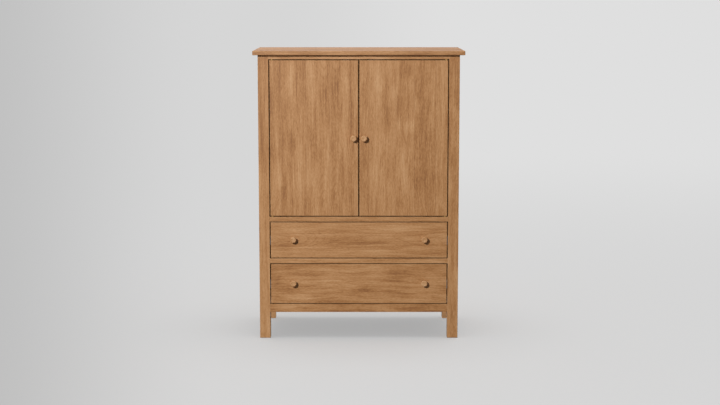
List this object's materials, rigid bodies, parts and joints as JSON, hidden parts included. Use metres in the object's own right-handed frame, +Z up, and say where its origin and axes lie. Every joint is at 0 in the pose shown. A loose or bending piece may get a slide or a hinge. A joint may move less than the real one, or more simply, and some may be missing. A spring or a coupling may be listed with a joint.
{
  "type": "tv armoire",
  "caption": "Wooden tv armoire with an overhanging flat top, inset slab doors over full-width drawers, round wooden knobs, a shelf inside and square legs.",
  "frame": {"origin": "on the floor, at the middle of the whole piece's width and depth", "axes": "+X to the viewer's right, +Y to the back, +Z up; the doors face -Y"},
  "size_m": [1.049, 0.553, 1.45],
  "materials": {
    "oak": "satin",
    "oak_top": "satin",
    "birch": "satin",
    "back_board": "matt",
    "zinc_steel": "satin",
    "brass_hardware": "satin",
    "dark_plastic": "matt",
    "nylon": "matt"
  },
  "bodies": {
    "carcass": {"front_top_rail": "oak", "front_middle_rail": "oak", "front_drawer_rail": "oak", "front_bottom_rail": "oak", "rear_top_rail": "oak", "rear_middle_rail": "oak", "rear_bottom_rail": "oak", "side_panels": "oak", "side_top_rails": "oak", "side_bottom_rails": "oak", "front_left_post": "oak", "front_right_post": "oak", "rear_posts": "oak", "tv_deck": "oak", "adjustable_shelf": "oak", "top_panel": "oak_top", "side_bearers": "birch", "upper_back_panel": "back_board", "lower_back_panel": "back_board", "panel_screws": "zinc_steel", "back_panel_screws": "zinc_steel", "shelf_pins": "zinc_steel", "catch_magnets": "zinc_steel", "slide_cabinet_members": "zinc_steel", "hinge_frame_leaves": "brass_hardware", "hinge_pins": "brass_hardware", "hinge_frame_screws": "brass_hardware", "catch_bodies": "dark_plastic", "cable_grommet": "dark_plastic", "foot_glides": "nylon"},
    "left_door": {"left_door_panel": "oak", "left_door_knob": "oak", "left_door_strike_plate": "zinc_steel", "left_door_knob_screw": "zinc_steel", "left_door_hinge_leaves": "brass_hardware", "left_door_hinge_screws": "brass_hardware"},
    "right_door": {"right_door_panel": "oak", "right_door_knob": "oak", "right_door_strike_plate": "zinc_steel", "right_door_knob_screw": "zinc_steel", "right_door_hinge_leaves": "brass_hardware", "right_door_hinge_screws": "brass_hardware"},
    "upper_drawer": {"upper_drawer_face": "oak", "upper_drawer_knobs": "oak", "upper_drawer_box_front": "birch", "upper_drawer_box_back": "birch", "upper_drawer_sides": "birch", "upper_drawer_bottom": "birch", "upper_drawer_knob_screws": "zinc_steel", "upper_slide_drawer_members": "zinc_steel"},
    "lower_drawer": {"lower_drawer_face": "oak", "lower_drawer_knobs": "oak", "lower_drawer_box_front": "birch", "lower_drawer_box_back": "birch", "lower_drawer_sides": "birch", "lower_drawer_bottom": "birch", "lower_drawer_knob_screws": "zinc_steel", "lower_slide_drawer_members": "zinc_steel"},
    "upper_slides": {"upper_slide_middle_members": "zinc_steel"},
    "lower_slides": {"lower_slide_middle_members": "zinc_steel"}
  },
  "joints": [
    {"name": "left_door_hinge", "type": "hinge", "parent": "carcass", "child": "left_door", "pos_m": [-0.432, -0.2415, 0.625], "axis": [0, 0, -1], "range_deg": [0, 110]},
    {"name": "right_door_hinge", "type": "hinge", "parent": "carcass", "child": "right_door", "pos_m": [0.432, -0.2415, 0.625], "axis": [0, 0, 1], "range_deg": [0, 110]},
    {"name": "upper_drawer_slide", "type": "slide", "parent": "carcass", "child": "upper_drawer", "axis": [0, -1, 0], "range_m": [0, 0.4]},
    {"name": "upper_slide_extension", "type": "slide", "parent": "carcass", "child": "upper_slides", "axis": [0, -1, 0], "range_m": [0, 0.2]},
    {"name": "lower_drawer_slide", "type": "slide", "parent": "carcass", "child": "lower_drawer", "axis": [0, -1, 0], "range_m": [0, 0.4]},
    {"name": "lower_slide_extension", "type": "slide", "parent": "carcass", "child": "lower_slides", "axis": [0, -1, 0], "range_m": [0, 0.2]}
  ],
  "couplings": [
    {"joint": "upper_slide_extension", "follows": "upper_drawer_slide", "ratio": 0.5},
    {"joint": "lower_slide_extension", "follows": "lower_drawer_slide", "ratio": 0.5}
  ]
}
